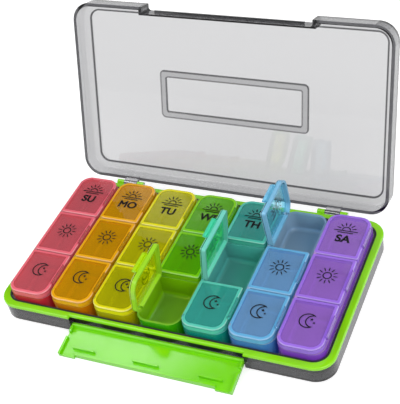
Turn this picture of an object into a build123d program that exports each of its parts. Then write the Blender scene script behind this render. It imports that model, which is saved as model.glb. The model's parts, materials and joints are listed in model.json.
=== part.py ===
from build123d import *
import os

# Weekly pill box: a tray with a rim, a folding outer lid, a front latch and seven lift-out day boxes.
# Millimetres. X runs along the days, Y towards the rear hinge, Z up.
# The origin is the centre of the tray's underside.

# Case outline
case_width = 226.0
case_depth = 126.0
case_corner_radius = 13.0

# Tray
tray_height = 12.3
tray_wall = 2.0
tray_floor = 2.0
tray_inset = 0.4
tray_bottom_chamfer = 1.6

# Rim frame on the tray wall
rim_width = 5.6
rim_thickness = 2.0
rim_edge_radius = 0.9
rim_skirt_wall = 1.2
rim_skirt_depth = 4.0
rim_fit_gap = 0.1
opening_corner_radius = 8.5

# Seal in the rim's inner rebate
seal_width = 1.3
seal_depth = 1.0
seal_stand = 0.1
seal_play = 0.05

# Day boxes
day_names = ["sun", "mon", "tue", "wed", "thu", "fri", "sat"]
box_gap = 0.8
box_side_gap = 0.7
box_end_gap = 0.7
box_seat_gap = 0.2
box_height = 16.2
box_wall = 1.4
box_floor = 1.4
box_partition = 1.6
box_corner_radius = 8.0
box_foot_radius = 2.0
box_scoop_radius = 3.0
row_names = ["evening", "noon", "morning"]

# Small lids
lid_seat_gap = 0.3
lid_height = 3.8
lid_plate = 1.2
lid_wall = 1.6
lid_border = 2.2
lid_panel_drop = 0.35
lid_gap = 0.4
lid_end_inset = 0.1
lid_hinge_inset = 0.25
lid_free_inset = 0.8
lid_corner_radius = 1.6
lid_inner_radius = 0.8

# Small lid hinges: the lid's rounded edge turns on pins held in posts of the day box
barrel_radius = 1.0
post_thickness = 1.8
post_setback = 0.9
post_foot = 0.5
pin_radius = 0.5
pin_play = 0.05
pin_root = 0.5
pin_end_gap = 0.1
notch_gap = 0.15

# Thumb tab on the free edge of each small lid: it reaches out over the edge, then up past the lid's top
tab_length = 16.0
tab_overhang = 0.3
tab_root = 1.0
tab_drop = 1.7
tab_tip_drop = 0.9
tab_knee_rise = 0.3
tab_rise = 2.2
tab_lean = 0.5
tab_thickness = 0.9

# Outer lid
outer_inset = 1.0
outer_depth_inset = 0.2
outer_height = 12.6
outer_wall = 2.2
outer_plate = 1.8
outer_seat_gap = 0.2
outer_edge_radius = 2.0
outer_inner_radius = 1.4
panel_inset = 7.1
panel_corner_radius = 7.0
panel_depth = 0.6

# Raised label frame on the inside of the outer lid
label_width = 106.6
label_height = 33.3
label_band = 4.1
label_corner_radius = 3.0
label_rise = 0.8
label_chamfer = 0.5

# Rear hinge
hinge_offset = 2.2
hinge_drop = 0.6
knuckle_radius = 1.7
hinge_pin_radius = 0.9
hinge_play = 0.05
hinge_end_inset = 38.0
lid_knuckle_length = 10.0
rim_knuckle_length = 5.0
knuckle_gap = 0.3
knuckle_root = 0.5
knuckle_web = 4.2

# Latch bay in the front of the tray, rim and outer lid
bay_width = 118.6
bay_depth = 4.1
bay_wall = 1.2
bay_cheek = 3.0
rim_bay_depth = 2.0
lid_notch_depth = 4.5
lid_notch_wall = 1.1

# Latch flap
flap_end_gap = 0.7
flap_thickness = 1.8
flap_hinge_height = 5.5
flap_hinge_depth = 2.1
flap_barrel_radius = 1.5
flap_pin_radius = 0.9
flap_pin_play = 0.05
flap_pin_length = 2.2
flap_top_over_lid = 0.8
flap_lip_reach = 1.8
flap_lip_thickness = 1.4
flap_lip_inset = 11.0
flap_lip_drop = 1.2
flap_end_wall = 1.4
flap_end_wall_reach = 1.9
flap_end_wall_clear = 0.8
rail_reach = 1.4
rail_height = 1.2
rail_drop = 7.2
rail_end_inset = 7.0
rib_reach = 2.4
rib_height = 1.2
rib_gap = 0.2
rib_widths = [15.0, 17.0, 15.0]
rib_spacing = 43.0

# How close a face or edge lies to the place it is picked by
place_tolerance = 0.01

# Pose shown: how far each piece stands open, in degrees
outer_lid_open = 108.9
latch_open = 98.0
wed_evening_open = 83.5
thu_noon_open = 82.5
fri_morning_open = 93.5

# Heights and places that follow
rim_top = tray_height + rim_thickness
opening_width = case_width - 2 * rim_width
opening_depth = case_depth - 2 * rim_width
rebate_width = opening_width + 2 * seal_width
rebate_depth = opening_depth + 2 * seal_width
box_count = len(day_names)
box_width = (opening_width - 2 * box_side_gap - (box_count - 1) * box_gap) / box_count
box_length = opening_depth - 2 * box_end_gap
day_pitch = box_width + box_gap
box_bottom = tray_floor + box_seat_gap
box_top = box_bottom + box_height
row_count = len(row_names)
compartment_pitch = box_length / row_count
partition_y = compartment_pitch / 2
end_post_y = box_length / 2 - box_corner_radius + post_setback
lid_bottom = box_top + lid_seat_gap
lid_top = lid_bottom + lid_height
pivot_inset = lid_hinge_inset + barrel_radius
pivot_z = lid_top - barrel_radius
notch_radius = barrel_radius + notch_gap
outer_width = case_width - 2 * outer_inset
outer_depth = case_depth - 2 * outer_depth_inset
outer_bottom = rim_top + outer_seat_gap
outer_top = outer_bottom + outer_height
plate_bottom = outer_top - outer_plate
hinge_spacing = case_width - 2 * hinge_end_inset
hinge_y = case_depth / 2 + hinge_offset
hinge_z = rim_top - hinge_drop
front_notch_y = outer_depth / 2 - lid_notch_depth
flap_length = bay_width - 2 * flap_end_gap
flap_front = -case_depth / 2
flap_back = flap_front + flap_thickness
flap_hinge_y = flap_front + flap_hinge_depth
flap_top = outer_top + flap_top_over_lid
rail_top = outer_top - rail_drop + rail_height
rib_bottom = rail_top + rib_gap

small_lid_open = {
    "wed_evening": wed_evening_open,
    "thu_noon": thu_noon_open,
    "fri_morning": fri_morning_open,
}

os.makedirs("parts", exist_ok=True)


def save(part, name):
    part.label = name
    export_step(part, f"parts/{name}.step")


def box_left(day):
    """The X of a day box's left side, where its small lids are hinged."""
    return (day - (box_count - 1) / 2) * day_pitch - box_width / 2


def row_start(row):
    """The Y at which a row of pockets starts, counted from the front."""
    return (row - row_count / 2) * compartment_pitch


def at_place(shapes, axis, place):
    """The faces or edges that lie at one place along an axis."""
    return shapes.filter_by_position(axis, place - place_tolerance, place + place_tolerance)


def rounded_panel(width, length, front_radius, rear_radius):
    """A flat panel whose front and rear corners have their own radii."""
    with BuildSketch() as panel:
        Rectangle(width, length)
        fillet(panel.vertices().group_by(Axis.Y)[0], front_radius)
        fillet(panel.vertices().group_by(Axis.Y)[-1], rear_radius)
    return panel.sketch


# Tray: a shallow pan with a bay in its front wall for the latch flap
with BuildPart() as base_tray:
    with BuildSketch():
        RectangleRounded(case_width - 2 * tray_inset, case_depth - 2 * tray_inset, case_corner_radius)
    extrude(amount=tray_height)
    chamfer(base_tray.faces().sort_by(Axis.Z)[0].edges(), tray_bottom_chamfer)
    with BuildSketch():
        with Locations((0, -case_depth / 2)):
            Rectangle(bay_width, 2 * bay_depth)
    extrude(amount=tray_height, mode=Mode.SUBTRACT)
    with BuildSketch(Plane.XY.offset(tray_floor)):
        wall_inset = tray_inset + tray_wall
        wall_radius = case_corner_radius - tray_wall
        RectangleRounded(case_width - 2 * wall_inset, case_depth - 2 * wall_inset, wall_radius)
        with Locations((0, -case_depth / 2)):
            Rectangle(bay_width + 2 * bay_cheek, 2 * (bay_depth + bay_wall), mode=Mode.SUBTRACT)
    extrude(amount=tray_height, mode=Mode.SUBTRACT)
    # bores for the flap's end pins
    for side in (-1, 1):
        with BuildSketch(Plane.YZ.offset(side * bay_width / 2)):
            with Locations((flap_hinge_y, flap_hinge_height)):
                Circle(flap_pin_radius + flap_pin_play)
        extrude(amount=side * flap_pin_length, mode=Mode.SUBTRACT)
save(base_tray.part, "base_tray")

# Rim frame: a flat ring on the tray wall, with a skirt inside the wall and a rebate for the seal
with BuildPart() as rim_frame:
    with BuildSketch(Plane.XY.offset(tray_height)):
        RectangleRounded(case_width, case_depth, case_corner_radius)
        with Locations((0, -case_depth / 2)):
            Rectangle(bay_width, 2 * rim_bay_depth, mode=Mode.SUBTRACT)
    extrude(amount=rim_thickness)
    fillet(rim_frame.faces().sort_by(Axis.Z)[-1].edges(), rim_edge_radius)
    with BuildSketch(Plane.XY.offset(tray_height - rim_skirt_depth)):
        skirt_inset = tray_inset + tray_wall + rim_fit_gap
        skirt_radius = case_corner_radius - tray_wall
        RectangleRounded(case_width - 2 * skirt_inset, case_depth - 2 * skirt_inset, skirt_radius)
        with Locations((0, -case_depth / 2)):
            cheek_span = bay_width + 2 * (bay_cheek + rim_fit_gap)
            Rectangle(cheek_span, 2 * (bay_depth + bay_wall + rim_fit_gap), mode=Mode.SUBTRACT)
        inner_inset = skirt_inset + rim_skirt_wall
        RectangleRounded(
            case_width - 2 * inner_inset,
            case_depth - 2 * inner_inset,
            skirt_radius - rim_skirt_wall,
            mode=Mode.SUBTRACT,
        )
    extrude(amount=rim_skirt_depth)
    with BuildSketch(Plane.XY.offset(tray_height - rim_skirt_depth)):
        RectangleRounded(opening_width, opening_depth, opening_corner_radius)
    extrude(amount=rim_skirt_depth + rim_thickness, mode=Mode.SUBTRACT)
    with BuildSketch(Plane.XY.offset(rim_top - seal_depth)):
        RectangleRounded(rebate_width, rebate_depth, opening_corner_radius + seal_width)
    extrude(amount=seal_depth, mode=Mode.SUBTRACT)
    # rear knuckles, two to each hinge, on webs from the rim's back edge
    rim_back_y = case_depth / 2
    knuckle_pitch = (lid_knuckle_length + rim_knuckle_length) / 2 + knuckle_gap
    for hinge_x in (-hinge_spacing / 2, hinge_spacing / 2):
        for side in (-1, 1):
            knuckle_start = hinge_x + side * knuckle_pitch - rim_knuckle_length / 2
            with BuildSketch(Plane.YZ.offset(knuckle_start)):
                with Locations((hinge_y, hinge_z)):
                    Circle(knuckle_radius)
                with BuildLine():
                    Polyline(
                        (rim_back_y - knuckle_root, tray_height),
                        (hinge_y, hinge_z - knuckle_radius),
                        (hinge_y, hinge_z),
                        (rim_back_y - knuckle_root, hinge_z),
                        close=True,
                    )
                make_face()
                with Locations((hinge_y, hinge_z)):
                    Circle(hinge_pin_radius + hinge_play, mode=Mode.SUBTRACT)
            extrude(amount=rim_knuckle_length)
save(rim_frame.part, "rim_frame")

# Seal: a soft ring that lies in the rim's rebate and stands a little proud
with BuildPart() as rim_seal:
    with BuildSketch(Plane.XY.offset(rim_top - seal_depth)):
        seal_outline = (rebate_width - 2 * seal_play, rebate_depth - 2 * seal_play)
        RectangleRounded(*seal_outline, opening_corner_radius + seal_width - seal_play)
        RectangleRounded(opening_width, opening_depth, opening_corner_radius, mode=Mode.SUBTRACT)
    extrude(amount=seal_depth + seal_stand)
save(rim_seal.part, "rim_seal")

# Rear hinge pins, one to each hinge
hinge_length = lid_knuckle_length + 2 * (rim_knuckle_length + knuckle_gap)
for hinge_name, hinge_x in (("left", -hinge_spacing / 2), ("right", hinge_spacing / 2)):
    with BuildPart() as hinge_pin:
        with BuildSketch(Plane.YZ.offset(hinge_x - hinge_length / 2)):
            with Locations((hinge_y, hinge_z)):
                Circle(hinge_pin_radius)
        extrude(amount=hinge_length)
    save(hinge_pin.part, f"hinge_pin_{hinge_name}")

# Outer lid: a shallow cap, drawn shut and then folded back about the rear hinge
with BuildPart() as outer_lid:
    with BuildSketch(Plane.XY.offset(outer_bottom)):
        RectangleRounded(outer_width, outer_depth, case_corner_radius)
        with Locations((0, -outer_depth / 2)):
            Rectangle(bay_width, 2 * lid_notch_depth, mode=Mode.SUBTRACT)
    extrude(amount=outer_height)
    inner_corners = at_place(outer_lid.edges().filter_by(Axis.Z), Axis.Y, -front_notch_y)
    top_edges = outer_lid.faces().sort_by(Axis.Z)[-1].edges()
    fillet(top_edges + inner_corners, outer_edge_radius)
    with BuildSketch(Plane.XY.offset(outer_bottom)):
        hollow_radius = case_corner_radius - outer_wall
        RectangleRounded(outer_width - 2 * outer_wall, outer_depth - 2 * outer_wall, hollow_radius)
        with Locations((0, -outer_depth / 2)):
            Rectangle(bay_width + 2 * outer_wall, 2 * (lid_notch_depth + lid_notch_wall), mode=Mode.SUBTRACT)
    extrude(amount=outer_height - outer_plate, mode=Mode.SUBTRACT)
    fillet(at_place(outer_lid.faces(), Axis.Z, plate_bottom).edges(), outer_inner_radius)
    # inner panel, a shallow step down in the plate
    with BuildSketch(Plane.XY.offset(plate_bottom)):
        RectangleRounded(outer_width - 2 * panel_inset, outer_depth - 2 * panel_inset, panel_corner_radius)
    extrude(amount=panel_depth, mode=Mode.SUBTRACT)
    # raised band round the label field
    with BuildSketch(Plane.XY.offset(plate_bottom + panel_depth - label_rise)):
        RectangleRounded(label_width, label_height, label_corner_radius)
        RectangleRounded(
            label_width - 2 * label_band,
            label_height - 2 * label_band,
            label_corner_radius / 2,
            mode=Mode.SUBTRACT,
        )
    extrude(amount=label_rise)
    label_faces = at_place(outer_lid.faces(), Axis.Z, plate_bottom + panel_depth - label_rise)
    chamfer(label_faces.edges(), label_chamfer)
    # catch rail on the front wall, which the flap's ribs snap over
    with BuildSketch(Plane.XY.offset(outer_top - rail_drop)):
        with Locations((0, -front_notch_y - rail_reach / 2)):
            Rectangle(bay_width - 2 * rail_end_inset, rail_reach)
    extrude(amount=rail_height)
    # rear knuckles
    lid_back_y = outer_depth / 2
    for hinge_x in (-hinge_spacing / 2, hinge_spacing / 2):
        with BuildSketch(Plane.YZ.offset(hinge_x - lid_knuckle_length / 2)):
            with Locations((hinge_y, hinge_z)):
                Circle(knuckle_radius)
            with BuildLine():
                Polyline(
                    (lid_back_y - knuckle_root, outer_bottom),
                    (hinge_y, hinge_z),
                    (hinge_y + knuckle_radius, hinge_z),
                    (lid_back_y, outer_bottom + knuckle_web),
                    (lid_back_y - knuckle_root, outer_bottom + knuckle_web),
                    close=True,
                )
            make_face()
            with Locations((hinge_y, hinge_z)):
                Circle(hinge_pin_radius + hinge_play, mode=Mode.SUBTRACT)
        extrude(amount=lid_knuckle_length)
rear_hinge = Axis((0, hinge_y, hinge_z), (-1, 0, 0))
save(outer_lid.part.rotate(rear_hinge, outer_lid_open), "outer_lid")

# Latch flap: a plate on an edge barrel, with a lip, end walls and snap ribs, drawn shut and let down.
# Its end walls leave the rim free between them.
with BuildPart() as latch_flap:
    with BuildSketch(Plane.YZ.offset(-flap_length / 2)):
        with Locations((flap_hinge_y, flap_hinge_height)):
            Circle(flap_barrel_radius)
        with BuildLine():
            Polyline(
                (flap_front, flap_hinge_height),
                (flap_hinge_y, flap_hinge_height),
                (flap_back, flap_hinge_height + flap_barrel_radius),
                (flap_back, flap_top),
                (flap_front, flap_top),
                close=True,
            )
        make_face()
    extrude(amount=flap_length)
    # lip along the far edge, set back between the ends
    lip_length = flap_length - 2 * flap_lip_inset
    with BuildSketch(Plane.XY.offset(flap_top - flap_lip_drop)):
        with Locations((0, flap_front)):
            Rectangle(lip_length, 2 * flap_thickness)
    extrude(amount=flap_lip_drop, mode=Mode.SUBTRACT)
    with BuildSketch(Plane.XY.offset(flap_top - flap_lip_drop - flap_lip_thickness)):
        with Locations((0, flap_back + flap_lip_reach / 2)):
            Rectangle(lip_length, flap_lip_reach)
    extrude(amount=flap_lip_thickness)
    # end walls under and over the rim
    for wall_bottom, wall_top in (
        (flap_hinge_height + flap_barrel_radius, tray_height - flap_end_wall_clear),
        (rim_top + flap_end_wall_clear, flap_top),
    ):
        with BuildSketch(Plane.XY.offset(wall_bottom)):
            with Locations((0, flap_back + flap_end_wall_reach / 2)):
                with GridLocations(flap_length - flap_end_wall, 0, 2, 1):
                    Rectangle(flap_end_wall, flap_end_wall_reach)
        extrude(amount=wall_top - wall_bottom)
    # snap ribs
    for number, rib_width in enumerate(rib_widths):
        with BuildSketch(Plane.XY.offset(rib_bottom)):
            with Locations(((number - 1) * rib_spacing, flap_back + rib_reach / 2)):
                Rectangle(rib_width, rib_reach)
        extrude(amount=rib_height)
    # end pins
    for side in (-1, 1):
        with BuildSketch(Plane.YZ.offset(side * flap_length / 2)):
            with Locations((flap_hinge_y, flap_hinge_height)):
                Circle(flap_pin_radius)
        extrude(amount=side * flap_pin_length)
flap_hinge = Axis((0, flap_hinge_y, flap_hinge_height), (1, 0, 0))
save(latch_flap.part.rotate(flap_hinge, latch_open), "latch_flap")


def make_day_box(day):
    """A day box: three pockets in a row, and four posts on its left wall for the lids' pins."""
    left = box_left(day)
    centre = left + box_width / 2
    with BuildPart() as day_box:
        with BuildSketch(Plane.XY.offset(box_bottom)):
            with Locations((centre, 0)):
                RectangleRounded(box_width, box_length, box_corner_radius)
        extrude(amount=box_height)
        fillet(day_box.faces().sort_by(Axis.Z)[0].edges(), box_foot_radius)
        for post_y in (-end_post_y, -partition_y, partition_y, end_post_y):
            with BuildSketch(Plane.XZ.offset(-post_y - post_thickness / 2)):
                with Locations((left + pivot_inset, pivot_z)):
                    Circle(barrel_radius)
                with Locations((left + pivot_inset, (box_top - post_foot + pivot_z) / 2)):
                    Rectangle(2 * barrel_radius, pivot_z - box_top + post_foot)
            extrude(amount=post_thickness)
        with BuildSketch(Plane.XY.offset(box_bottom + box_floor)):
            with Locations((centre, 0)):
                pocket_width = box_width - 2 * box_wall
                pocket_length = box_length - 2 * box_wall
                RectangleRounded(pocket_width, pocket_length, box_corner_radius - box_wall)
                with GridLocations(0, 2 * partition_y, 1, 2):
                    Rectangle(box_width, box_partition, mode=Mode.SUBTRACT)
        extrude(amount=box_height - box_floor, mode=Mode.SUBTRACT)
        fillet(at_place(day_box.faces(), Axis.Z, box_bottom + box_floor).edges(), box_scoop_radius)
        with BuildSketch(Plane.XZ.offset(-box_length / 2)):
            with Locations((left + pivot_inset, pivot_z)):
                Circle(pin_radius + pin_play)
        extrude(amount=box_length, mode=Mode.SUBTRACT)
    return day_box.part


def make_small_lid(day, row, open_angle):
    """A small lid, drawn shut over its pocket and then turned up about its left edge."""
    left = box_left(day)
    width = box_width - lid_hinge_inset - lid_free_inset
    middle_x = left + lid_hinge_inset + width / 2
    is_front = row == 0
    is_rear = row == row_count - 1
    front_y = row_start(row) + (lid_end_inset if is_front else lid_gap / 2)
    rear_y = row_start(row + 1) - (lid_end_inset if is_rear else lid_gap / 2)
    length = rear_y - front_y
    middle_y = (front_y + rear_y) / 2
    end_radius = box_corner_radius - lid_end_inset
    front_radius = end_radius if is_front else lid_corner_radius
    rear_radius = end_radius if is_rear else lid_corner_radius
    outline = rounded_panel(width, length, front_radius, rear_radius)
    hollow = rounded_panel(
        width - 2 * lid_wall,
        length - 2 * lid_wall,
        max(front_radius - lid_wall, lid_inner_radius),
        max(rear_radius - lid_wall, lid_inner_radius),
    )
    panel = rounded_panel(
        width - 2 * lid_border,
        length - 2 * lid_border,
        max(front_radius - lid_border, lid_inner_radius),
        max(rear_radius - lid_border, lid_inner_radius),
    )
    pivot_x = left + pivot_inset
    half_notch = post_thickness / 2 + notch_gap
    front_post = -end_post_y if is_front else row_start(row)
    rear_post = end_post_y if is_rear else row_start(row + 1)
    with BuildPart() as small_lid:
        with BuildSketch(Plane.XY.offset(lid_bottom)):
            with Locations((middle_x, middle_y)):
                add(outline)
        extrude(amount=lid_height)
        fillet(small_lid.faces().sort_by(Axis.Z)[-1].edges(), barrel_radius)
        with BuildSketch(Plane.XY.offset(lid_bottom)):
            with Locations((middle_x, middle_y)):
                add(hollow)
        extrude(amount=lid_height - lid_plate, mode=Mode.SUBTRACT)
        with BuildSketch(Plane.XY.offset(lid_top - lid_panel_drop)):
            with Locations((middle_x, middle_y)):
                add(panel)
        extrude(amount=lid_panel_drop, mode=Mode.SUBTRACT)
        # thumb tab
        free_x = left + box_width - lid_free_inset
        tab_x = left + box_width + tab_overhang
        with BuildSketch(Plane.XZ.offset(-middle_y - tab_length / 2)):
            with BuildLine():
                Polyline(
                    (free_x - tab_root, lid_top - tab_drop),
                    (tab_x, lid_top - tab_tip_drop),
                    (tab_x, lid_top + tab_knee_rise),
                    (tab_x - tab_lean, lid_top + tab_rise),
                    (tab_x - tab_lean - tab_thickness, lid_top + tab_rise),
                    (free_x - tab_root, lid_top - barrel_radius / 2),
                    close=True,
                )
            make_face()
        extrude(amount=tab_length)
        # room for the posts, and the pins that turn in them
        for post_y in (front_post, rear_post):
            with BuildSketch(Plane.XZ.offset(-post_y - half_notch)):
                with Locations((pivot_x, pivot_z)):
                    Circle(notch_radius)
                with Locations((left + (pivot_inset + notch_radius) / 2, (lid_bottom + pivot_z) / 2)):
                    Rectangle(pivot_inset + notch_radius, pivot_z - lid_bottom)
            extrude(amount=2 * half_notch, mode=Mode.SUBTRACT)
        front_pin_start = front_post - half_notch - pin_root if is_front else front_post + pin_end_gap
        rear_pin_end = rear_post + half_notch + pin_root if is_rear else rear_post - pin_end_gap
        for pin_start, pin_end in (
            (front_pin_start, front_post + half_notch + pin_root),
            (rear_post - half_notch - pin_root, rear_pin_end),
        ):
            with BuildSketch(Plane.XZ.offset(-pin_end)):
                with Locations((pivot_x, pivot_z)):
                    Circle(pin_radius)
            extrude(amount=pin_end - pin_start)
    return small_lid.part.rotate(Axis((pivot_x, 0, pivot_z), (0, -1, 0)), open_angle)


for day, day_name in enumerate(day_names):
    save(make_day_box(day), f"box_{day_name}")
    for row, row_name in enumerate(row_names):
        lid_name = f"{day_name}_{row_name}"
        save(make_small_lid(day, row, small_lid_open.get(lid_name, 0.0)), f"lid_{lid_name}")
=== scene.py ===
# %% [markdown]
# A weekly pill box
#
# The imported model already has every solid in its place: a dark tray with a green rim, a clear lid folded
# back, a green latch let down at the front, and seven day boxes with three small lids each. Blender adds
# what makes them look moulded and used: the plastics, the printed marks on the lids, the light and the
# camera.
#
# The parts could be modelled again from the picture, but then they would drift from their real sizes. So
# the solids stay as they came, and each one only gets its finish.

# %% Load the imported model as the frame
import json
import math

import bmesh
import bpy
from mathutils import Matrix, Vector


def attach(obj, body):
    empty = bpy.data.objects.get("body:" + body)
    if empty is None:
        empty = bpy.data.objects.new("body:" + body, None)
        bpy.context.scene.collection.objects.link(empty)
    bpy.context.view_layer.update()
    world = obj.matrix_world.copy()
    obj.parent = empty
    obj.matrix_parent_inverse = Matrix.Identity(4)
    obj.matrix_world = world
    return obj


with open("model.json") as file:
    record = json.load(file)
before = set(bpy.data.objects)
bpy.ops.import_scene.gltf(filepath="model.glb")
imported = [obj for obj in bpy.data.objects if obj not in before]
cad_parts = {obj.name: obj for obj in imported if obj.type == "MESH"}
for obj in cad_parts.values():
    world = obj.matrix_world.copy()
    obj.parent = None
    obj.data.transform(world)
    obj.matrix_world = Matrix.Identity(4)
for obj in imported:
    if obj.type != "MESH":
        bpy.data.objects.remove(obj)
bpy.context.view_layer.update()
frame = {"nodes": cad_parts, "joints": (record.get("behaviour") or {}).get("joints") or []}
millimetre = 0.001
full_turn = 2 * math.pi

# %% [markdown]
# The camera
#
# The photograph looks down on the box from its right front, through a long lens and with a tilted horizon.
# A camera could be aimed by eye, or by a constraint that tracks the box. Here it is worked out from three
# angles, a distance and a target, because such numbers can be fitted: they were changed until the edges
# of the case lay on the photographed ones.

# %% Place the camera at the photograph's view
camera_azimuth = math.radians(30.781)
camera_elevation = math.radians(40.775)
camera_roll = math.radians(-12.589)
camera_distance = 0.614774
camera_target = Vector((0.02227, -0.010038, 0.080556))
lens_millimetres = 92.85
sensor_millimetres = 36.0

towards_camera = Vector((
    math.sin(camera_azimuth) * math.cos(camera_elevation),
    -math.cos(camera_azimuth) * math.cos(camera_elevation),
    math.sin(camera_elevation),
))
level_right = Vector((math.cos(camera_azimuth), math.sin(camera_azimuth), 0.0))
level_up = towards_camera.cross(level_right)
camera_right = level_right * math.cos(camera_roll) + level_up * math.sin(camera_roll)
camera_up = level_up * math.cos(camera_roll) - level_right * math.sin(camera_roll)

camera_data = bpy.data.cameras.new("photo_camera")
camera_data.lens = lens_millimetres
camera_data.sensor_width = sensor_millimetres
camera = bpy.data.objects.new("photo_camera", camera_data)
bpy.context.scene.collection.objects.link(camera)
turn = Matrix((camera_right, camera_up, towards_camera)).transposed().to_4x4()
camera.matrix_world = Matrix.Translation(camera_target + towards_camera * camera_distance) @ turn
bpy.context.scene.camera = camera
print("camera at", [round(v, 4) for v in camera.matrix_world.translation])

# %% [markdown]
# Small helpers for shader nodes
#
# Every finish below is a tree of nodes. Such trees can be drawn in the editor and loaded from a file, but
# then a reader can't see what is in them. Built in code they can be read here, and a few helpers keep the
# code short: one starts a material, one feeds a socket with a number or a link, one does a sum, and one
# asks what kind of ray has met the surface.

# %% Make helpers for shader nodes


def new_material(name):
    """An empty material with its tree and its surface shader."""
    material = bpy.data.materials.new(name)
    material.use_nodes = True
    return material, material.node_tree, material.node_tree.nodes["Principled BSDF"]


def feed(tree, socket, value):
    """Gives a socket a number, a colour, or the output of another node."""
    if isinstance(value, bpy.types.NodeSocket):
        tree.links.new(value, socket)
    elif isinstance(value, tuple):
        socket.default_value = (*value, 1.0)
    else:
        socket.default_value = value


def node_math(tree, operation, *values):
    """A sum on one or two values, each of them a number or an output."""
    node = tree.nodes.new("ShaderNodeMath")
    node.operation = operation
    for socket, value in zip(node.inputs, values):
        feed(tree, socket, value)
    return node.outputs[0]


def ray_is(tree, *kinds):
    """One where a ray of one of these kinds meets the surface."""
    path = tree.nodes.new("ShaderNodeLightPath")
    total = path.outputs[kinds[0]]
    for kind in kinds[1:]:
        total = node_math(tree, "MAXIMUM", total, path.outputs[kind])
    return total


print("node helpers ready")

# %% [markdown]
# The table top
#
# The ground of the photograph is plain white. A white floor under soft lamps turns out grey, and stronger
# lamps would wash out the colours of the box. So the floor is pale and keeps the soft shadow, and it adds
# a little light of its own for the rays that look at it: from the camera, in a mirror image, or through
# clear plastic. A Light Path node tells those rays apart, so none of this extra light falls on the box.
# The table lies a tenth of a millimetre under the case, because two faces in one plane flicker.

# %% Lay the table top
floor_half = 3.0
floor_level = -0.0001
floor_colour = (0.62, 0.62, 0.62)
floor_roughness = 0.9
floor_lift = 0.66
white = (1.0, 1.0, 1.0)


def make_floor():
    """A pale table top that adds a little light of its own where it is looked at."""
    material, tree, surface = new_material("table_white")
    feed(tree, surface.inputs["Base Color"], floor_colour)
    feed(tree, surface.inputs["Roughness"], floor_roughness)
    feed(tree, surface.inputs["Emission Color"], white)
    seen = ray_is(tree, "Is Camera Ray", "Is Glossy Ray", "Is Transmission Ray")
    feed(tree, surface.inputs["Emission Strength"], node_math(tree, "MULTIPLY", seen, floor_lift))
    signs = ((-1, -1), (1, -1), (1, 1), (-1, 1))
    corners = [(floor_half * x, floor_half * y, floor_level) for x, y in signs]
    mesh = bpy.data.meshes.new("table_top")
    mesh.from_pydata(corners, [], [(0, 1, 2, 3)])
    mesh.materials.append(material)
    table_top = bpy.data.objects.new("table_top", mesh)
    bpy.context.scene.collection.objects.link(table_top)


make_floor()
bpy.context.scene.view_settings.view_transform = "Standard"
print("table top laid", round(-floor_level / millimetre, 2), "mm under the case")

# %% [markdown]
# The sky
#
# A studio's pale walls light the box from all sides, and each flat lid mirrors one of them. The lids keep
# their deep colours in the photograph, so what they mirror there must be dim. The sky could be a picture
# of a room, but a plain one with a soft dim patch is easier to move and to explain. Where the camera
# looks at the sky, straight on or through clear plastic, it stays white.

# %% Make the sky
sky_light = 0.62
dim_sky_light = 0.05
dim_sky_direction = (-0.39, 0.65, 0.65)
dim_sky_start = 0.55
dim_sky_full = 0.92


def coordinates(tree, kind):
    """One of the texture coordinates. Object keeps a pattern on its part."""
    return tree.nodes.new("ShaderNodeTexCoord").outputs[kind]


def facing(tree, direction, way):
    """One where a direction points straight along the way, and less where it turns aside."""
    turned = tree.nodes.new("ShaderNodeVectorMath")
    turned.operation = "DOT_PRODUCT"
    turned.inputs[1].default_value = way
    tree.links.new(direction, turned.inputs[0])
    return turned.outputs["Value"]


def ramp(tree, value, start, end, low=0.0, high=1.0, slope="LINEAR"):
    """Low up to the start and high from the end on, with a slope between them."""
    node = tree.nodes.new("ShaderNodeMapRange")
    node.interpolation_type = slope
    for label, number in (("From Min", start), ("From Max", end), ("To Min", low), ("To Max", high)):
        node.inputs[label].default_value = number
    tree.links.new(value, node.inputs["Value"])
    return node.outputs["Result"]


def blend(tree, factor, first, second, kind="RGBA"):
    """A colour between two, or with the kind FLOAT a number between two. Each can be an output."""
    mix = tree.nodes.new("ShaderNodeMix")
    mix.data_type = kind
    for label, value in (("Factor", factor), ("A", first), ("B", second)):
        feed(tree, mix.inputs[label], value)
    return mix.outputs["Result"]


def make_sky():
    """A pale sky that is white where it is looked at, and dim in the part that the lids' tops mirror."""
    world = bpy.data.worlds.new("studio_sky")
    world.use_nodes = True
    tree = world.node_tree
    background = tree.nodes["Background"]
    feed(tree, background.inputs["Color"], white)
    towards_dim = facing(tree, coordinates(tree, "Generated"), dim_sky_direction)
    light = ramp(tree, towards_dim, dim_sky_start, dim_sky_full, sky_light, dim_sky_light, "SMOOTHSTEP")
    seen = ray_is(tree, "Is Camera Ray", "Is Transmission Ray")
    feed(tree, background.inputs["Strength"], blend(tree, seen, light, 1.0, "FLOAT"))
    bpy.context.scene.world = world


make_sky()
print("sky made, with", sky_light, "of white all round and", dim_sky_light, "in its dim patch")

# %% [markdown]
# The lamps
#
# The shadows and highlights in the photograph are soft, as from large lamps close by. Three lamps stand
# round the box as in a small studio: the key lamp at its left front, the fill lamp at its right front,
# and the back lamp behind it, which shines through the small lids that stand open. The sheen lamp is
# small and weak, and hangs where the latch mirrors it, for the soft sheen that runs along the latch in
# the photograph. Area lamps suit this, because their size sets how soft a highlight is.

# %% Hang the lamps
lamp_places = {
    "key_lamp": {"place": (-0.55, -0.35, 0.85), "size": 0.7, "power": 3.6},
    "fill_lamp": {"place": (0.75, -0.45, 0.65), "size": 0.6, "power": 3.8},
    "back_lamp": {"place": (0.65, 0.70, 0.80), "size": 0.5, "power": 2.2},
    "sheen_lamp": {"place": (-0.50, 0.33, 0.91), "size": 0.28, "power": 1.2},
}


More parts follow.
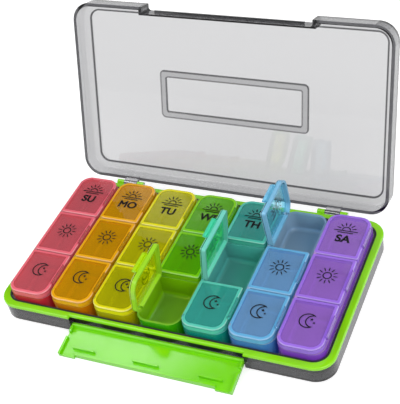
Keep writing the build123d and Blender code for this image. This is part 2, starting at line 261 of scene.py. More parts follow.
def hang_lamp(name, place, size, power):
    """A square lamp that faces the box."""
    lamp_data = bpy.data.lights.new(name, "AREA")
    lamp_data.size = size
    lamp_data.energy = power
    lamp = bpy.data.objects.new(name, lamp_data)
    bpy.context.scene.collection.objects.link(lamp)
    lamp.location = place
    lamp.rotation_mode = "QUATERNION"
    lamp.rotation_quaternion = (Vector(place) * -1).to_track_quat("-Z", "Y")


for lamp_name, setting in lamp_places.items():
    hang_lamp(lamp_name, **setting)
print("lamps:", ", ".join(lamp_places))

# %% [markdown]
# The grain of a moulded part
#
# Moulded plastic has a clean gloss that wears unevenly, a colour that clouds a little where the melt
# flowed, and a very faint ripple. A picture of plastic would have to be wrapped round every part. Noise
# on Object coordinates needs no wrapping and stays on the part when it moves. These helpers make such a
# noise, and turn it into a gloss that varies or into a bump.

# %% Make helpers for grain
noise_middle = (0.3, 0.7)
ripple_depth = 0.1 * millimetre


def noise_of(tree, patches_per_metre, detail, stretch=(1.0, 1.0, 1.0)):
    """A noise over the part. A stretch under one draws its patches out along that axis."""
    mapping = tree.nodes.new("ShaderNodeMapping")
    mapping.inputs["Scale"].default_value = stretch
    noise = tree.nodes.new("ShaderNodeTexNoise")
    noise.inputs["Scale"].default_value = patches_per_metre
    noise.inputs["Detail"].default_value = detail
    tree.links.new(coordinates(tree, "Object"), mapping.inputs["Vector"])
    tree.links.new(mapping.outputs["Vector"], noise.inputs["Vector"])
    return noise.outputs["Fac"]


def wear_gloss(tree, surface, noise, gloss):
    """A roughness between gloss's two values, spread over the useful middle of a noise."""
    feed(tree, surface.inputs["Roughness"], ramp(tree, noise, *noise_middle, *gloss))


def ripple(tree, surface, height, strength):
    """A bump on the surface from a height."""
    bump = tree.nodes.new("ShaderNodeBump")
    bump.inputs["Strength"].default_value = strength
    bump.inputs["Distance"].default_value = ripple_depth
    tree.links.new(height, bump.inputs["Height"])
    tree.links.new(bump.outputs["Normal"], surface.inputs["Normal"])


def finish_nodes(material, *names):
    """Gives CAD nodes a material."""
    for name in names:
        frame["nodes"][name].data.materials.clear()
        frame["nodes"][name].data.materials.append(material)


print("grain helpers ready")

# %% [markdown]
# The green rim and latch
#
# The rim and the latch are moulded in one bright opaque green. One flat colour would look like paper, and
# a second material for worn or cloudy places would show where it begins. So one material holds two near
# greens and two glosses, and noise mixes them. The latch lies open to the whole sky, which pales it, so
# its greens are painted a little deeper: a painted shade on a copy of the same plastic.

# %% Finish the rim and the latch
green_gloss = (0.10, 0.18)
green_ripple = 0.02
rim_green = (0.26, 0.74, 0.004)
rim_cloud = (0.30, 0.80, 0.010)
# The latch's two greens are the rim's plastic made deeper, as painted shade against the sky's light.
latch_green = (0.18, 0.69, 0.001)
latch_shaded_cloud = (0.21, 0.74, 0.003)


def green_plastic(name, colour, cloud):
    """The opaque green plastic, clouded towards a second colour."""
    material, tree, surface = new_material(name)
    clouding = noise_of(tree, patches_per_metre=45.0, detail=2.0)
    feed(tree, surface.inputs["Base Color"], blend(tree, clouding, colour, cloud))
    wear_gloss(tree, surface, noise_of(tree, patches_per_metre=160.0, detail=5.0), green_gloss)
    ripple(tree, surface, noise_of(tree, patches_per_metre=380.0, detail=2.0), green_ripple)
    return material


finish_nodes(green_plastic("lime_green", rim_green, rim_cloud), "rim_frame")
finish_nodes(green_plastic("latch_green", latch_green, latch_shaded_cloud), "latch_flap")
print("rim and latch finished")

# %% [markdown]
# The seal and the hinge pins
#
# A thin black rubber seal runs round the inside of the rim, and the outer lid turns on two short steel
# pins. Both are small in the picture, so one noise each is enough. On the rubber it is a fine grain that
# makes it matt. On the steel the same noise is drawn out along the pin, as the die that pulls the wire
# leaves its marks. A Mapping node does that with one scale, where a brushed picture would need seams.

# %% Finish the seal and the pins
rubber_black = (0.012, 0.012, 0.014)
rubber_dust = (0.03, 0.03, 0.033)
rubber_gloss = (0.55, 0.75)
rubber_ripple = 0.3
steel_grey = (0.50, 0.50, 0.50)
steel_bright = (0.66, 0.66, 0.65)
steel_gloss = (0.25, 0.42)
along_pin = (0.05, 1.0, 1.0)


def rubber(name):
    """A matt black rubber with a fine grain."""
    material, tree, surface = new_material(name)
    grain = noise_of(tree, patches_per_metre=900.0, detail=3.0)
    feed(tree, surface.inputs["Base Color"], blend(tree, grain, rubber_black, rubber_dust))
    wear_gloss(tree, surface, grain, rubber_gloss)
    ripple(tree, surface, grain, rubber_ripple)
    return material


def steel(name):
    """A drawn steel wire, with faint marks along it."""
    material, tree, surface = new_material(name)
    surface.inputs["Metallic"].default_value = 1.0
    marks = noise_of(tree, patches_per_metre=700.0, detail=4.0, stretch=along_pin)
    feed(tree, surface.inputs["Base Color"], blend(tree, marks, steel_grey, steel_bright))
    wear_gloss(tree, surface, marks, steel_gloss)
    return material


finish_nodes(rubber("seal_rubber"), "rim_seal")
finish_nodes(steel("pin_steel"), "hinge_pin_left", "hinge_pin_right")
print("seal and pins finished")

# %% [markdown]
# Clear plastic
#
# The tray, the outer lid, the day boxes and their lids are all clear plastic. The transmission of the
# Principled shader bends and mirrors what the eye sees through them, as the real material does. Lamps,
# though, are hardly ever found through a bent surface, so a box made with it alone is black inside and
# throws a black shadow. Caustics could mend that with many times the samples. Here a Light Path node
# gives shadow rays and diffuse rays a plain transparent surface with the plastic's own tint, so that
# light comes in, and goes on to the table, in the right colour. A wall has two faces, so each of them
# lets through the square root of what the wall does.
#
# Where a thick wall has to be darker than a thin one, an absorbing volume fills the solid. Its dye is the
# share of white light that is left after one depth of the plastic.

# %% Make a helper for clear plastic
plastic_bend = 1.49
full_shine = 0.5
dye_headroom = 1.02


def passed(colour, clear):
    """The lamp light that goes on through one of a clear wall's two faces."""
    return tuple(math.sqrt(clear * value) for value in colour)


def add_dye(tree, dye, depth):
    """Fills a clear solid with dye. The headroom keeps the absorption's own colour above nothing."""
    lost = [-math.log(share) / depth for share in dye]
    density = max(lost) * dye_headroom
    absorption = tree.nodes.new("ShaderNodeVolumeAbsorption")
    absorption.inputs["Color"].default_value = (*(1.0 - value / density for value in lost), 1.0)
    absorption.inputs["Density"].default_value = density
    tree.links.new(absorption.outputs["Volume"], tree.nodes["Material Output"].inputs["Volume"])


def clear_plastic(name, colour, gloss, clear, shine=full_shine):
    """A plastic that light goes through. clear is the share of the light that isn't scattered."""
    material, tree, surface = new_material(name)
    straight_on = tree.nodes.new("ShaderNodeBsdfTransparent")
    feed(tree, straight_on.inputs["Color"], passed(colour, clear))
    either = tree.nodes.new("ShaderNodeMixShader")
    tree.links.new(ray_is(tree, "Is Shadow Ray", "Is Diffuse Ray"), either.inputs["Fac"])
    tree.links.new(surface.outputs["BSDF"], either.inputs[1])
    tree.links.new(straight_on.outputs["BSDF"], either.inputs[2])
    tree.links.new(either.outputs["Shader"], tree.nodes["Material Output"].inputs["Surface"])
    feed(tree, surface.inputs["Base Color"], colour)
    surface.inputs["Transmission Weight"].default_value = clear
    surface.inputs["IOR"].default_value = plastic_bend
    surface.inputs["Specular IOR Level"].default_value = shine
    wear_gloss(tree, surface, noise_of(tree, patches_per_metre=90.0, detail=4.0), gloss)
    return material


print("clear plastic bends light by an index of", plastic_bend)

# %% [markdown]
# The tray
#
# The tray is a dark smoke plastic that lets almost nothing through its walls. The walls' dark tint is
# partly the smoke's own colour and partly painted shade. One dark tint all over would also hold back the
# light that should come up through its floor and make the day boxes glow, as they do in the photograph.
# The floor's faces could get a second material, but then each of them would have to be picked out. So one
# material has two looks in layers: the walls' dark smoke with its painted shade, and a nearly clear look
# where the surface lies level. The lids and the boxes further down are layered in the same way.

# %% Finish the tray
tray_gloss = (0.06, 0.14)
tray_clear = 0.95
# The walls' dark grey is partly the smoke's own colour and partly painted shade.
tray_wall_smoke_and_shade = (0.24, 0.24, 0.25)
tray_floor_colour = (0.97, 0.97, 0.97)
tray_dye = (0.55, 0.55, 0.56)
tray_dye_depth = 2.0 * millimetre
level_start = 0.5
level_full = 0.9


def split(tree, vector):
    """The X, Y and Z of a vector."""
    parts = tree.nodes.new("ShaderNodeSeparateXYZ")
    tree.links.new(vector, parts.inputs["Vector"])
    return parts.outputs


def level_share(tree):
    """One on faces that lie level, and nothing on upright ones."""
    levelness = node_math(tree, "ABSOLUTE", split(tree, coordinates(tree, "Normal"))["Z"])
    return ramp(tree, levelness, level_start, level_full)


def layer_looks(material, ground, *layers):
    """Gives a clear plastic several looks: a colour and a clearness as ground, and layers with a share."""
    tree = material.node_tree
    colour, clear = ground
    through = passed(colour, clear)
    for share, layer_colour, layer_clear in layers:
        colour = blend(tree, share, colour, layer_colour)
        through = blend(tree, share, through, passed(layer_colour, layer_clear))
        clear = blend(tree, share, clear, layer_clear, "FLOAT")
    feed(tree, tree.nodes["Principled BSDF"].inputs["Base Color"], colour)
    feed(tree, tree.nodes["Principled BSDF"].inputs["Transmission Weight"], clear)
    feed(tree, tree.nodes["Transparent BSDF"].inputs["Color"], through)
    return material


tray_smoke = clear_plastic("tray_smoke", tray_wall_smoke_and_shade, tray_gloss, tray_clear)
add_dye(tray_smoke.node_tree, tray_dye, tray_dye_depth)
tray_floor = level_share(tray_smoke.node_tree)
layer_looks(tray_smoke, (tray_wall_smoke_and_shade, tray_clear), (tray_floor, tray_floor_colour, tray_clear))
finish_nodes(tray_smoke, "base_tray")
print("tray finished")

# %% [markdown]
# Places and lines on a lid
#
# The lids are modelled as they stand in the photograph, but where something is on a lid is easier to say
# when it is shut: its plate has one height, and its frames are rounded rectangles round the middle. The
# place could be stored in the mesh, but the solids are left as they came. So a Mapping node turns each
# place back to shut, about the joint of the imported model. A line along a rounded rectangle is then a
# matter of distance: from the middle of the nearest corner's arc, or from the straight between two such
# middles, less the arc's radius.

# %% Make helpers for places and lines on a lid
joints = {joint["name"]: joint for joint in frame["joints"]}
line_softness = 0.25 * millimetre


def opening_turn(joint, size=3):
    """The turn that took a lid from shut to the way it stands in the photograph."""
    return Matrix.Rotation(math.radians(-joint["range_deg"][0]), size, Vector(joint["axis"]))


def shut_place(tree, joint):
    """The place on a lid as if it were shut, as x, y and z. The lid itself may stand open."""
    hinge = Vector(joint["pos_m"])
    shut = opening_turn(joint).transposed()
    turned = tree.nodes.new("ShaderNodeMapping")
    turned.inputs["Rotation"].default_value = shut.to_euler()
    turned.inputs["Location"].default_value = hinge - shut @ hinge
    tree.links.new(coordinates(tree, "Object"), turned.inputs["Vector"])
    return split(tree, turned.outputs["Vector"])


def fades(tree, value, start, end):
    """One up to the start, then down to nothing at the end."""
    return ramp(tree, value, start, end, low=1.0, high=0.0)


def line_share(tree, place, half_x, half_y, radius, line):
    """One on a line along a rounded rectangle, half as wide as line says. All sizes are in millimetres."""
    squares = []
    for axis, half in (("X", half_x), ("Y", half_y)):
        from_middle = node_math(tree, "ABSOLUTE", place[axis])
        past_straight = node_math(tree, "SUBTRACT", from_middle, (half - radius) * millimetre)
        in_corner = node_math(tree, "MAXIMUM", past_straight, 0.0)
        squares.append(node_math(tree, "MULTIPLY", in_corner, in_corner))
    from_corner_middle = node_math(tree, "SQRT", node_math(tree, "ADD", *squares))
    past_outline = node_math(tree, "SUBTRACT", from_corner_middle, radius * millimetre)
    distance = node_math(tree, "ABSOLUTE", past_outline)
    return fades(tree, distance, line * millimetre, line * millimetre + line_softness)


# %% [markdown]
# The outer lid
#
# The outer lid is a clear cap in pale grey smoke plastic. Its plate is thin enough to read through, and
# its walls look darker, because the eye looks along them. The bending shader and the dye show that by
# themselves. What they don't show in this plain light is the dark line along each moulded step, where a
# thick clear edge gathers the dark side of a room. A dark room would darken everything else too, so the
# lines are a painted reflection, a second look in a layer. They run round the panel and along both edges
# of the label's raised frame, with a fainter band between these two, and one lies on the wall over the
# latch.

# %% Finish the outer lid
lid_gloss = (0.02, 0.05)
lid_clear = 1.0
lid_clear_colour = (0.70, 0.70, 0.705)
# The dark edge colour is a painted reflection of a dark room along the moulded steps.
lid_edge_reflection_colour = (0.12, 0.12, 0.125)
lid_dye = (0.84, 0.84, 0.845)
lid_dye_depth = 1.2 * millimetre
panel_step = {"half_x": 104.9, "half_y": 55.7, "radius": 7.0, "line": 0.45}
label_outside = {"half_x": 53.3, "half_y": 16.65, "radius": 3.0, "line": 0.35}
label_inside = {"half_x": 49.2, "half_y": 12.55, "radius": 1.5, "line": 0.35}
label_band = {"half_x": 51.3, "half_y": 14.6, "radius": 2.5, "line": 1.9}
# The fainter band takes this share of the painted reflection.
label_band_reflection_share = 0.30
bay_wall_back = -57.2 * millimetre
bay_wall_half = 61.0 * millimetre


def edge_reflection_share(tree):
    """One where a dark reflection is painted along the moulded edges of the outer lid, and part of it on
    the band round the label.
    """
    place = shut_place(tree, joints["outer_lid_hinge"])
    share = node_math(tree, "MULTIPLY", line_share(tree, place, **label_band), label_band_reflection_share)
    for line in (panel_step, label_outside, label_inside):
        share = node_math(tree, "MAXIMUM", share, line_share(tree, place, **line))
    at_front = fades(tree, place["Y"], bay_wall_back - line_softness, bay_wall_back)
    from_middle = node_math(tree, "ABSOLUTE", place["X"])
    over_latch = fades(tree, from_middle, bay_wall_half, bay_wall_half + line_softness)
    return node_math(tree, "MAXIMUM", share, node_math(tree, "MULTIPLY", at_front, over_latch))


clear_smoke = clear_plastic("clear_smoke", lid_clear_colour, lid_gloss, lid_clear)
add_dye(clear_smoke.node_tree, lid_dye, lid_dye_depth)
# Painted reflection: dark lines along the moulded edges.
lid_edge_reflections = edge_reflection_share(clear_smoke.node_tree)
layer_looks(clear_smoke, (lid_clear_colour, lid_clear), (lid_edge_reflections, lid_edge_reflection_colour, lid_clear))
finish_nodes(clear_smoke, "outer_lid")
print("outer lid finished")

# %% [markdown]
# The day boxes
#
# Each day has its own clear tint. A real box gets all its looks from one dyed plastic. From outside the
# eye looks through many walls, so it is deep. An open pocket is lighter, and its floor is duller, because
# the smoky tray shows through. A dye and many bounces could give that, but slowly, and one dye wouldn't
# fit every look in so plain a light. So the box has three looks in layers, and each can be set from the
# photograph: the pockets' walls keep nearly the day's tint, the deep outside is painted shade, and the
# duller floor is painted shade of the tray beneath. The outside is found by its distance from the box's
# rounded outline, which is measured from the imported solid, and the floor by its level faces. Much of
# the light is scattered on the way, which makes the plastic milky.

# %% Finish the day boxes
day_tints = {
    "sun": (1.00, 0.31, 0.37),
    "mon": (1.00, 0.64, 0.004),
    "tue": (0.88, 0.86, 0.003),
    "wed": (0.34, 0.84, 0.003),
    "thu": (0.14, 0.75, 0.68),
    "fri": (0.42, 0.71, 1.00),
    "sat": (0.70, 0.41, 1.00),
}
day_shine = 0.25
box_gloss = (0.12, 0.20)
box_outline = {"radius": 8.0, "line": 0.5}
box_outside_clear = 0.60
# Painted shade: this power and tone deepen the box's colour outside.
box_outside_shade_power = 2.3
box_outside_shade_tone = 0.80
box_wall_clear = 0.30
box_wall_power = 0.95
box_floor_clear = 0.35
# Painted shade: the floors are greyed and darkened for the tray beneath.
box_floor_shade_grey = 0.06
box_floor_shade_tone = 0.75


def deeper(colour, power):
    """The colour that light keeps after more of the same plastic."""
    return tuple(value**power for value in colour)


def measure(name, axis):
    """The middle of a node along an axis and half its size there, from the corners of its box."""
    places = [corner["XYZ".index(axis)] for corner in frame["nodes"][name].bound_box]
    return (max(places) + min(places)) / 2, (max(places) - min(places)) / 2


def box_plastic(name, tint):
    """The day's clear plastic: painted shade deepens it outside and greys its floors, and the pockets keep
    the tint.
    """
    material = clear_plastic(f"{name}_plastic", tint, box_gloss, box_wall_clear, day_shine)
    tree = material.node_tree
    place = split(tree, coordinates(tree, "Object"))
    middle_x, half_x = measure(name, "X")
    middle_y, half_y = measure(name, "Y")
    from_middle = {
        "X": node_math(tree, "SUBTRACT", place["X"], middle_x),
        "Y": node_math(tree, "SUBTRACT", place["Y"], middle_y),
    }
    # Painted shade outside and on the floors; the pocket walls keep nearly the tint.
    outside = line_share(tree, from_middle, half_x / millimetre, half_y / millimetre, **box_outline)
    outside_shade_tint = tuple(box_outside_shade_tone * value for value in deeper(tint, box_outside_shade_power))
    floor_shade_tone = box_floor_shade_tone / (1.0 + box_floor_shade_grey)
    floor_shade_tint = tuple(floor_shade_tone * (value + box_floor_shade_grey) for value in tint)
    return layer_looks(
        material,
        (deeper(tint, box_wall_power), box_wall_clear),
        (outside, outside_shade_tint, box_outside_clear),
        (level_share(tree), floor_shade_tint, box_floor_clear),
    )


for day, tint in day_tints.items():
    finish_nodes(box_plastic(f"box_{day}", tint), f"box_{day}")
print("finished", len(day_tints), "day boxes:", ", ".join(day_tints))

# %% [markdown]
# The parts of a small lid
#
# A small lid is one solid: a thin plate in a thick raised border, with a thumb tab at its free side. To
# look different, these have to be told apart. The mesh could be cut up and its faces given materials, but
# it is simpler to ask of each point where it is on the shut lid. At the plate's height it is plate, and
# elsewhere border, up to where the tab starts. On the rounded edges the surface looks partly along the
# lid's own up, neither as far as on the top nor as little as on the side, and there a highlight is
# painted.

# %% Make helpers that find a small lid's parts
plate_top = 22.15 * millimetre
plate_half = 0.425 * millimetre
plate_margin = 0.02 * millimetre
plate_blend = 0.10 * millimetre
free_edge = 27.75 * millimetre
tab_blend = 0.10 * millimetre
side_facing = (0.20, 0.45)
top_facing = (0.85, 0.98)


def border_share(tree, joint):
    """One on a small lid's raised border and skirt, and nothing on its plate and its thumb tab."""
    place = shut_place(tree, joint)
    above_middle = node_math(tree, "SUBTRACT", place["Z"], plate_top - plate_half)
    from_middle = node_math(tree, "ABSOLUTE", above_middle)
    plate_end = plate_half + plate_margin
    plate = fades(tree, from_middle, plate_end, plate_end + plate_blend)
    tab_start = joint["pos_m"][0] + free_edge
    before_tab = fades(tree, place["X"], tab_start, tab_start + tab_blend)
    return node_math(tree, "MULTIPLY", node_math(tree, "SUBTRACT", 1.0, plate), before_tab)


def rounded_highlight_share(tree, joint):
    """One on a small lid's rounded edges, where its faces turn from the top to the side and a highlight is
    painted.
    """
    lid_up = opening_turn(joint) @ Vector((0.0, 0.0, 1.0))
    up_share = facing(tree, coordinates(tree, "Normal"), lid_up)
    side = fades(tree, up_share, *side_facing)
    not_top = fades(tree, up_share, *top_facing)
    return node_math(tree, "MULTIPLY", node_math(tree, "SUBTRACT", 1.0, side), not_top)


print("a small lid's plate is", round(2 * plate_half / millimetre, 2), "mm thick")

# %% [markdown]
# The small lids
#
# The thick border scatters light, so it is milkier and brighter than the plate, and its rounded edges
# catch a pale line, which is a painted highlight. A lid that stands open is lit from behind and glows,
# and that glow is painted too. Real scattering inside the plastic would show all this after thousands of
# samples, so here it is looks in layers again: the plate as the ground, then the border, then the
# rounded edges with their painted highlight. The standing lids have paler plate tints and a paler
# border, as painted light.

# %% Finish the small lids
row_names = ["evening", "noon", "morning"]
border_tints = {
    "sun": (1.00, 0.19, 0.25),
    "mon": (1.00, 0.50, 0.01),
    "tue": (0.95, 0.88, 0.01),
    "wed": (0.30, 0.76, 0.01),
    "thu": (0.13, 0.70, 0.56),
    "fri": (0.17, 0.53, 0.88),
    "sat": (0.42, 0.21, 0.92),
}
small_lid_gloss = (0.01, 0.04)
plate_clear = 0.82
border_clear = 0.25
# The pale line on the rounded edges is a painted highlight.
edge_highlight_pale = 0.20
# A standing lid's paler plate and border are a painted glow from the light behind it.
standing_lit_tints = {
    "hinge_wed_evening": (0.86, 1.00, 0.004),
    "hinge_thu_noon": (0.14, 1.00, 0.60),
    "hinge_fri_morning": (0.34, 0.82, 1.00),
}
standing_clear = 0.88
standing_lit_border_power = 0.70


def lid_plastic(name, tint, border_tint, joint):
    """The day's clear plastic, milkier in the thick border, with a painted highlight on the rounded edges
    and a painted glow on a lid that stands open.
    """
    plate = (tint, plate_clear)
    # A standing lid gets a painted glow: a paler plate and border.
    if joint["name"] in standing_lit_tints:
        plate = (standing_lit_tints[joint["name"]], standing_clear)
        border_tint = deeper(border_tint, standing_lit_border_power)
    # Painted highlight on the rounded edges.
    edge_highlight_tint = tuple(value + edge_highlight_pale * (1.0 - value) for value in border_tint)
    material = clear_plastic(name, tint, small_lid_gloss, plate_clear, day_shine)
    return layer_looks(
        material,
        plate,
        (border_share(material.node_tree, joint), border_tint, border_clear),
        (rounded_highlight_share(material.node_tree, joint), edge_highlight_tint, border_clear),
    )


for day, tint in day_tints.items():
    for row in row_names:
        lid = f"lid_{day}_{row}"
        joint = joints[f"hinge_{day}_{row}"]
        finish_nodes(lid_plastic(f"{lid}_plastic", tint, border_tints[day], joint), lid)
print("finished", len(day_tints) * len(row_names), "small lids, and", len(standing_lit_tints), "stand open")

# %% [markdown]
# The ink of the printed marks
#
# A pad printer put one dark mark on each small lid: a low sun over a horizon for the morning, a full sun
# for noon and a crescent with stars for the evening. Morning lids also carry the day. The marks could be
# a picture on the lid, but a small picture blurs close up. So each is a thin solid film of its own that
# stands on the plate, as real ink does, with a dull black finish.

# %% Mix the ink
ink_black = (0.004, 0.004, 0.005)
ink_worn = (0.012, 0.011, 0.012)
ink_gloss = (0.35, 0.55)
ink_shine = 0.15


def make_ink():
    """A dull black ink with a fine grain."""
    material, tree, surface = new_material("print_ink")
    grain = noise_of(tree, patches_per_metre=1500.0, detail=3.0)
    feed(tree, surface.inputs["Base Color"], blend(tree, grain, ink_black, ink_worn))
    surface.inputs["Specular IOR Level"].default_value = ink_shine
    wear_gloss(tree, surface, grain, ink_gloss)
    return material


print_ink = make_ink()
print("ink mixed")

# %% [markdown]
# The rays of the suns
#
# The rays of a sun are one short stroke, repeated round an arc. They could be copied in a loop, or by an
# Array modifier and a turned empty. Geometry Nodes say it most plainly: points on an arc, and on each
# point one stroke, turned outwards. The stroke is a disc that is one across, so its scale is its length
# and its width. The same tree makes the full sun and the half sun from named inputs.

# %% Lay out rays with Geometry Nodes
ray_sides = 10
ray_disc_radius = 0.5
ray_inputs = {
    "Count": "NodeSocketInt",
    "Middle Radius": "NodeSocketFloat",
    "Ray Length": "NodeSocketFloat",
    "Ray Width": "NodeSocketFloat",
    "Start Angle": "NodeSocketFloat",
    "Sweep Angle": "NodeSocketFloat",
    "Ink": "NodeSocketMaterial",
}


def make_ray_tree():
    """A tree that lays slim rays on an arc, each pointing away from the middle."""
    tree = bpy.data.node_groups.new("fan_of_rays", "GeometryNodeTree")
    for label, kind in ray_inputs.items():
        tree.interface.new_socket(label, in_out="INPUT", socket_type=kind)
    tree.interface.new_socket("Rays", in_out="OUTPUT", socket_type="NodeSocketGeometry")
    given = tree.nodes.new("NodeGroupInput")
    made = tree.nodes.new("NodeGroupOutput")
    arc = tree.nodes.new("GeometryNodeCurveArc")
    points = tree.nodes.new("GeometryNodeCurveToPoints")
    points.mode = "EVALUATED"
    ray = tree.nodes.new("GeometryNodeMeshCircle")
    ray.fill_type = "NGON"
    ray.inputs["Vertices"].default_value = ray_sides
    ray.inputs["Radius"].default_value = ray_disc_radius
    size = tree.nodes.new("ShaderNodeCombineXYZ")
    stretch = tree.nodes.new("GeometryNodeTransform")
    place = tree.nodes.new("GeometryNodeInputPosition")
    outwards = tree.nodes.new("FunctionNodeAlignRotationToVector")
    outwards.axis = "X"
    repeat = tree.nodes.new("GeometryNodeInstanceOnPoints")
    real = tree.nodes.new("GeometryNodeRealizeInstances")
    inked = tree.nodes.new("GeometryNodeSetMaterial")
    for start, end in (
        (given.outputs["Count"], arc.inputs["Resolution"]),
        (given.outputs["Middle Radius"], arc.inputs["Radius"]),
        (given.outputs["Start Angle"], arc.inputs["Start Angle"]),
        (given.outputs["Sweep Angle"], arc.inputs["Sweep Angle"]),
        (arc.outputs["Curve"], points.inputs["Curve"]),
        (given.outputs["Ray Length"], size.inputs["X"]),
        (given.outputs["Ray Width"], size.inputs["Y"]),
        (ray.outputs["Mesh"], stretch.inputs["Geometry"]),
        (size.outputs["Vector"], stretch.inputs["Scale"]),
        (place.outputs["Position"], outwards.inputs["Vector"]),
        (points.outputs["Points"], repeat.inputs["Points"]),
        (stretch.outputs["Geometry"], repeat.inputs["Instance"]),
        (outwards.outputs["Rotation"], repeat.inputs["Rotation"]),
        (repeat.outputs["Instances"], real.inputs["Geometry"]),
        (real.outputs["Geometry"], inked.inputs["Geometry"]),
        (given.outputs["Ink"], inked.inputs["Material"]),
        (inked.outputs["Geometry"], made.inputs["Rays"]),
    ):
        tree.links.new(start, end)
    return tree


ray_tree = make_ray_tree()
print("ray tree has", len(ray_tree.nodes), "nodes")

# %% [markdown]
# From the tree to a mesh
#
# A modifier shows the rays, but makes them anew each time it is looked at, and a mark needs a mesh that
# can be moved and joined to others. An operator could apply the modifier, but only to an object that is
# active. So an empty carrier takes the modifier, its inputs are set by the sockets' identifiers, and
# new_from_object copies what comes out. The carrier is then removed.

# %% Turn the tree into a plain mesh of rays


def flat_copy(source):
    """The object's finished shape as a plain mesh. The object itself goes."""
    bpy.context.view_layer.update()
    mesh = bpy.data.meshes.new_from_object(source.evaluated_get(bpy.context.evaluated_depsgraph_get()))
    bpy.data.objects.remove(source)
    return mesh


def rays(**sizes):
    """A mesh of inked rays, from the tree's named inputs."""
    carrier = bpy.data.objects.new("ray_carrier", bpy.data.meshes.new("ray_carrier"))
    bpy.context.scene.collection.objects.link(carrier)
    fan = carrier.modifiers.new("rays", "NODES")
    fan.node_group = ray_tree
    values = {label.replace("_", " ").title(): value for label, value in sizes.items()}
    values["Ink"] = print_ink
    for socket in ray_tree.interface.items_tree:
        if socket.in_out == "INPUT":
            fan[socket.identifier] = values[socket.name]
    return flat_copy(carrier)


print("rays take:", ", ".join(ray_inputs))

# %% [markdown]
# The outlines of the marks
#
# The rest of a mark is flat and closed: a ring, a crescent, stars and bars. Curves could draw them, but
# an arc needs only a formula, and two closed outlines, one inside the other, fill to a ring. So each
# shape is a list of corners, and one helper fills them.

# %% Draw arcs, crescents, stars and bars
circle_steps = 40
crescent_cut_shift = 3.1 * millimetre
star_points = 5
star_waist = 0.45


def circle(radius, centre=(0.0, 0.0), start=0.0, end=full_turn):
    """Points on an arc. A full turn leaves out its last point, which would lie on the first."""
    full = math.isclose(abs(end - start), full_turn)
    count = circle_steps if full else circle_steps - 1
    angles = [start + (end - start) * step / count for step in range(circle_steps)]
    return [
        (centre[0] + radius * math.cos(angle), centre[1] + radius * math.sin(angle))
        for angle in angles
    ]


def crescent(radius, cut_radius):
    """The outline of a crescent, open to the right: one arc out and one arc back."""
    across = (radius**2 - cut_radius**2 + crescent_cut_shift**2) / (2 * crescent_cut_shift)
    tip = math.sqrt(radius**2 - across**2)
    outer_start = math.atan2(tip, across)
    inner_start = math.atan2(tip, across - crescent_cut_shift)
    outer = circle(radius, start=outer_start, end=full_turn - outer_start)
    inner = circle(cut_radius, (crescent_cut_shift, 0.0), full_turn - inner_start, inner_start)
    return outer + inner[1:-1]


def star(centre, radius):
    """The outline of a small star."""
    corners = []
    for corner in range(2 * star_points):
        reach = radius if corner % 2 == 0 else radius * star_waist
        angle = math.pi / 2 + corner * math.pi / star_points
        corners.append((centre[0] + reach * math.cos(angle), centre[1] + reach * math.sin(angle)))
    return corners


def bar(length, width, middle_y):
    """The outline of a plain level bar."""
    x, y = length / 2, width / 2
    return [(-x, middle_y - y), (x, middle_y - y), (x, middle_y + y), (-x, middle_y + y)]


def filled(*loops):
    """A flat mesh between closed outlines, where one inside another is a hole."""
    shape = bmesh.new()
    for loop in loops:
        corners = [shape.verts.new((x, y, 0.0)) for x, y in loop]
        for first, second in zip(corners, corners[1:] + corners[:1]):
            shape.edges.new((first, second))
    bmesh.ops.triangle_fill(shape, use_beauty=True, edges=shape.edges[:])
    mesh = bpy.data.meshes.new("filled")
    shape.to_mesh(mesh)
    shape.free()
    return mesh


print("a full circle has", circle_steps, "sides")

# %% [markdown]
# The three marks
#
# Each row of lids has its own mark. All seven could share one mesh, but each print has to be its own
# piece on its own lid. So a mark is a function that draws it round the middle, and it is called once for
# each lid. The marks are own drawings in the manner of the printed ones, at their size.

# %% Put the marks together
stroke = 0.75 * millimetre
sun_radius = 2.9 * millimetre
sun_rays = 12
ray_gap = 0.7 * millimetre
ray_length = 3.2 * millimetre
ray_middle = sun_radius + ray_gap + ray_length / 2
low_ray_tilt = math.radians(18)
horizon_length = 15.6 * millimetre
water_length = 10.14 * millimetre
water_drop = 3.2 * stroke
crescent_radius = 5.6 * millimetre
crescent_cut_radius = 4.0 * millimetre
large_star = {"centre": (1.9 * millimetre, 1.3 * millimetre), "radius": 1.25 * millimetre}
small_star = {"centre": (3.9 * millimetre, -1.0 * millimetre), "radius": 1.0 * millimetre}


def evening_mark():
    """An outlined crescent with two stars."""
    outside = crescent(crescent_radius, crescent_cut_radius)
    inside = crescent(crescent_radius - stroke, crescent_cut_radius + stroke)
    return [filled(outside, inside), filled(star(**large_star)), filled(star(**small_star))]


def noon_mark():
    """A ring with rays all round."""
    around = rays(count=sun_rays, middle_radius=ray_middle, ray_length=ray_length, ray_width=stroke,
                  start_angle=0.0, sweep_angle=full_turn * (sun_rays - 1) / sun_rays)
    return [filled(circle(sun_radius), circle(sun_radius - stroke)), around]


def morning_mark():
    """Half a ring with rays, over a horizon and a shorter bar for the water."""
    above = rays(count=sun_rays // 2, middle_radius=ray_middle, ray_length=ray_length, ray_width=stroke,
                 start_angle=low_ray_tilt, sweep_angle=math.pi - 2 * low_ray_tilt)
    half_ring = circle(sun_radius, end=math.pi) + circle(sun_radius - stroke, start=math.pi, end=0.0)
    horizon = bar(horizon_length, stroke, -stroke)
    water = bar(water_length, stroke, -water_drop)
    return [filled(half_ring), above, filled(horizon), filled(water)]


mark_shapes = {"evening": evening_mark, "noon": noon_mark, "morning": morning_mark}
print("marks are drawn with a", round(stroke / millimetre, 2), "mm stroke")

# %% [markdown]
# The letters
#
# A morning lid also carries its day, as a pair of bold capitals. They could be outlines like the rest,
# but letters are already there in Blender's own font. The font is slim, so a bevel round its outline
# makes the strokes bold. It thickens them upwards too, so the mesh is pressed flat again, to the
# thickness of the print.

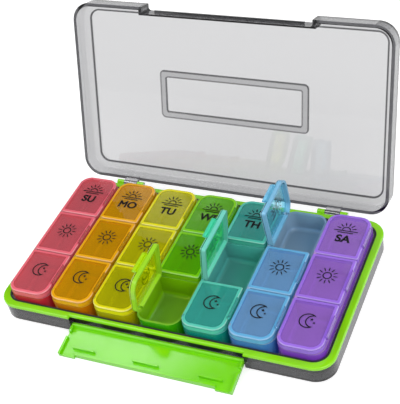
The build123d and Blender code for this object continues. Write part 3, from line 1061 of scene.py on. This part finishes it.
# %% Set the letters
day_letters = {"sun": "SU", "mon": "MO", "tue": "TU", "wed": "WE", "thu": "TH", "fri": "FR", "sat": "SA"}
print_thickness = 0.05 * millimetre
letter_height = 6.2 * millimetre
letter_weight = 0.30 * millimetre
capital_share = 0.73


def letters(words):
    """Bold capitals, centred, as a thin print. A capital is a share of the font's size high."""
    text = bpy.data.curves.new("letters", "FONT")
    text.body = words
    text.size = letter_height / capital_share
    text.bevel_depth = letter_weight
    text.bevel_resolution = 0
    text.align_x = "CENTER"
    text.align_y = "CENTER"
    carrier = bpy.data.objects.new("letters", text)
    bpy.context.scene.collection.objects.link(carrier)
    mesh = flat_copy(carrier)
    mesh.transform(Matrix.Diagonal((1.0, 1.0, print_thickness / (2 * letter_weight), 1.0)))
    return mesh


print("capitals are", round(letter_height / millimetre, 2), "mm high")

# %% [markdown]
# The print on the lids
#
# Each mark is laid on its lid as if the lid were shut, which needs only a middle, worked out from the
# lid's hinge, and a height. There it gets its thickness, and then it is turned with the lid to the way
# the lid stands in the photograph. A Solidify modifier could give the thickness, but the flat shapes are
# already joined in a bmesh, which has a solidify of its own. Each print rides on its lid's body, so it
# stays on the plate when the lid moves.

# %% Print the marks on the lids
print_height = plate_top + print_thickness
behind_hinge = 1.0 * millimetre
lid_middle = (free_edge - behind_hinge) / 2
mark_shifts = {"evening": 2.5 * millimetre, "noon": 2.2 * millimetre, "morning": 5.2 * millimetre}
letters_shift = -3.0 * millimetre
merge_distance = 0.001 * millimetre


def gather(together, shapes, place):
    """Adds meshes to a bmesh at a place."""
    for mesh in shapes:
        mesh.transform(Matrix.Translation(place))
        together.from_mesh(mesh)
        bpy.data.meshes.remove(mesh)


def thicken(flat):
    """Makes a flat bmesh a film that is solid down to the plate, with its faces outwards."""
    bmesh.ops.remove_doubles(flat, verts=flat.verts, dist=merge_distance)
    bmesh.ops.recalc_face_normals(flat, faces=flat.faces)
    for face in flat.faces:
        if face.normal.z < 0:
            face.normal_flip()
    bmesh.ops.solidify(flat, geom=flat.faces[:], thickness=print_thickness)
    bmesh.ops.recalc_face_normals(flat, faces=flat.faces)


def print_mark(day, row):
    """One thin print on a small lid: its row's mark and, on a morning lid, the day's letters."""
    joint = joints[f"hinge_{day}_{row}"]
    name = f"print_{day}_{row}"
    body = f"lid_{day}_{row}"
    hinge = Vector(joint["pos_m"])
    middle = hinge.x + lid_middle
    together = bmesh.new()
    gather(together, mark_shapes[row](), (middle, hinge.y + mark_shifts[row], print_height))
    thicken(together)
    if row == "morning":
        half_way_down = print_height - print_thickness / 2
        gather(together, [letters(day_letters[day])], (middle, hinge.y + letters_shift, half_way_down))
    together.transform(Matrix.Translation(hinge) @ opening_turn(joint, 4) @ Matrix.Translation(-hinge))
    mesh = bpy.data.meshes.new(name)
    together.to_mesh(mesh)
    together.free()
    mesh.materials.clear()
    mesh.materials.append(print_ink)
    mark = bpy.data.objects.new(name, mesh)
    bpy.context.scene.collection.objects.link(mark)
    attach(mark, body)


for day in day_tints:
    for row in row_names:
        print_mark(day, row)
print("printed", len(day_tints) * len(row_names), "lids")
